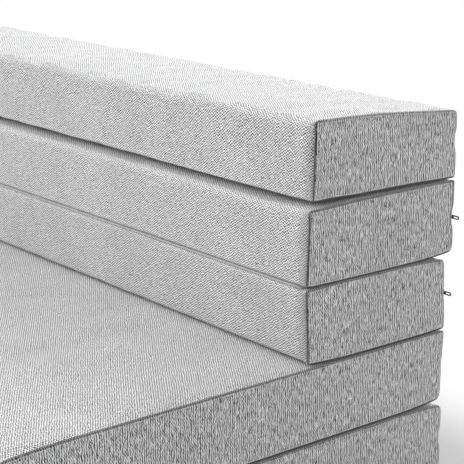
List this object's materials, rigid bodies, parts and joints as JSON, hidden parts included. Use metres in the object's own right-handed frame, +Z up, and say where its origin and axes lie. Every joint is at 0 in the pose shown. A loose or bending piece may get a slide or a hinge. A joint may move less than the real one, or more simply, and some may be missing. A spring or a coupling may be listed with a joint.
{
  "type": "folding sofa bed",
  "caption": "Frameless folding sofa bed: foam blocks in zipped fabric covers, joined by fabric flaps, stacked as base, seat and back, and opening like a zigzag into a flat mattress.",
  "frame": {"origin": "on the floor, under the middle of the folded sofa's bounding box", "axes": "+X along the sofa's width, to the right as seen from in front of it; +Y to its rear; +Z up"},
  "size_m": [1.4246, 0.8106, 0.6016],
  "materials": {
    "cover_fabric": "grey melange plain weave",
    "end_fabric": "the same weave turned a quarter, with upright slubs",
    "hinge_fabric": "grey plain weave",
    "foam": "open-cell polyurethane foam",
    "zipper_tape": "ribbed woven tape",
    "zipper_coil": "nylon coil",
    "slider_metal": "dark lacquered zinc"
  },
  "bodies": {
    "base": {"base_cover": "cover_fabric", "base_right_end_panel": "end_fabric", "base_left_end_panel": "end_fabric", "base_foam": "foam", "base_zipper_tape": "zipper_tape", "base_zipper_coil": "zipper_coil", "base_front_flap": "hinge_fabric"},
    "seat": {"seat_cover": "cover_fabric", "seat_right_end_panel": "end_fabric", "seat_left_end_panel": "end_fabric", "seat_foam": "foam", "seat_zipper_tape": "zipper_tape", "seat_zipper_coil": "zipper_coil", "seat_front_flap": "hinge_fabric", "seat_rear_flap": "hinge_fabric"},
    "lower_back": {"lower_back_cover": "cover_fabric", "lower_back_right_end_panel": "end_fabric", "lower_back_left_end_panel": "end_fabric", "lower_back_foam": "foam", "lower_back_zipper_tape": "zipper_tape", "lower_back_zipper_coil": "zipper_coil", "lower_back_front_flap": "hinge_fabric", "lower_back_rear_flap": "hinge_fabric"},
    "middle_back": {"middle_back_cover": "cover_fabric", "middle_back_right_end_panel": "end_fabric", "middle_back_left_end_panel": "end_fabric", "middle_back_foam": "foam", "middle_back_zipper_tape": "zipper_tape", "middle_back_zipper_coil": "zipper_coil", "middle_back_front_flap": "hinge_fabric", "middle_back_rear_flap": "hinge_fabric"},
    "top_back": {"top_back_cover": "cover_fabric", "top_back_right_end_panel": "end_fabric", "top_back_left_end_panel": "end_fabric", "top_back_foam": "foam", "top_back_zipper_tape": "zipper_tape", "top_back_zipper_coil": "zipper_coil", "top_back_rear_flap": "hinge_fabric"},
    "base_slider": {"base_zipper_slider": "slider_metal"},
    "base_pull": {"base_zipper_pull": "slider_metal"},
    "seat_slider": {"seat_zipper_slider": "slider_metal"},
    "seat_pull": {"seat_zipper_pull": "slider_metal"},
    "lower_back_slider": {"lower_back_zipper_slider": "slider_metal"},
    "lower_back_pull": {"lower_back_zipper_pull": "slider_metal"},
    "middle_back_slider": {"middle_back_zipper_slider": "slider_metal"},
    "middle_back_pull": {"middle_back_zipper_pull": "slider_metal"},
    "top_back_slider": {"top_back_zipper_slider": "slider_metal"},
    "top_back_pull": {"top_back_zipper_pull": "slider_metal"}
  },
  "joints": [
    {"name": "unfold_seat", "type": "hinge", "parent": "base", "child": "seat", "pos_m": [0, -0.4055, 0.1202], "axis": [1, 0, 0], "range_deg": [0, 180]},
    {"name": "unfold_lower_back", "type": "hinge", "parent": "seat", "child": "lower_back", "pos_m": [0, 0.3945, 0.2406], "axis": [-1, 0, 0], "range_deg": [0, 180]},
    {"name": "unfold_middle_back", "type": "hinge", "parent": "lower_back", "child": "middle_back", "pos_m": [0, 0.0995, 0.361], "axis": [1, 0, 0], "range_deg": [0, 180]},
    {"name": "unfold_top_back", "type": "hinge", "parent": "middle_back", "child": "top_back", "pos_m": [0, 0.4055, 0.4814], "axis": [-1, 0, 0], "range_deg": [0, 180]},
    {"name": "base_zip", "type": "slide", "parent": "base", "child": "base_slider", "axis": [1, 0, 0], "range_m": [0, 1.366]},
    {"name": "base_pull_turn", "type": "hinge", "parent": "base_slider", "child": "base_pull", "pos_m": [-0.683, 0.39165, 0.06], "axis": [0, 0, -1], "range_deg": [0, 180]},
    {"name": "seat_zip", "type": "slide", "parent": "seat", "child": "seat_slider", "axis": [1, 0, 0], "range_m": [0, 1.366]},
    {"name": "seat_pull_turn", "type": "hinge", "parent": "seat_slider", "child": "seat_pull", "pos_m": [-0.683, 0.39165, 0.1804], "axis": [0, 0, -1], "range_deg": [0, 180]},
    {"name": "lower_back_zip", "type": "slide", "parent": "lower_back", "child": "lower_back_slider", "axis": [-1, 0, 0], "range_m": [0, 1.366]},
    {"name": "lower_back_pull_turn", "type": "hinge", "parent": "lower_back_slider", "child": "lower_back_pull", "pos_m": [0.683, 0.39165, 0.3008], "axis": [0, 0, 1], "range_deg": [0, 180]},
    {"name": "middle_back_zip", "type": "slide", "parent": "middle_back", "child": "middle_back_slider", "axis": [-1, 0, 0], "range_m": [0, 1.366]},
    {"name": "middle_back_pull_turn", "type": "hinge", "parent": "middle_back_slider", "child": "middle_back_pull", "pos_m": [0.683, 0.40265, 0.4212], "axis": [0, 0, 1], "range_deg": [0, 180]},
    {"name": "top_back_zip", "type": "slide", "parent": "top_back", "child": "top_back_slider", "axis": [1, 0, 0], "range_m": [0, 1.366]},
    {"name": "top_back_pull_turn", "type": "hinge", "parent": "top_back_slider", "child": "top_back_pull", "pos_m": [-0.683, 0.40265, 0.5416], "axis": [0, 0, -1], "range_deg": [0, 180]}
  ],
  "couplings": [
    {"joint": "unfold_lower_back", "follows": "unfold_seat", "ratio": 1},
    {"joint": "unfold_middle_back", "follows": "unfold_seat", "ratio": 1},
    {"joint": "unfold_top_back", "follows": "unfold_seat", "ratio": 1}
  ]
}
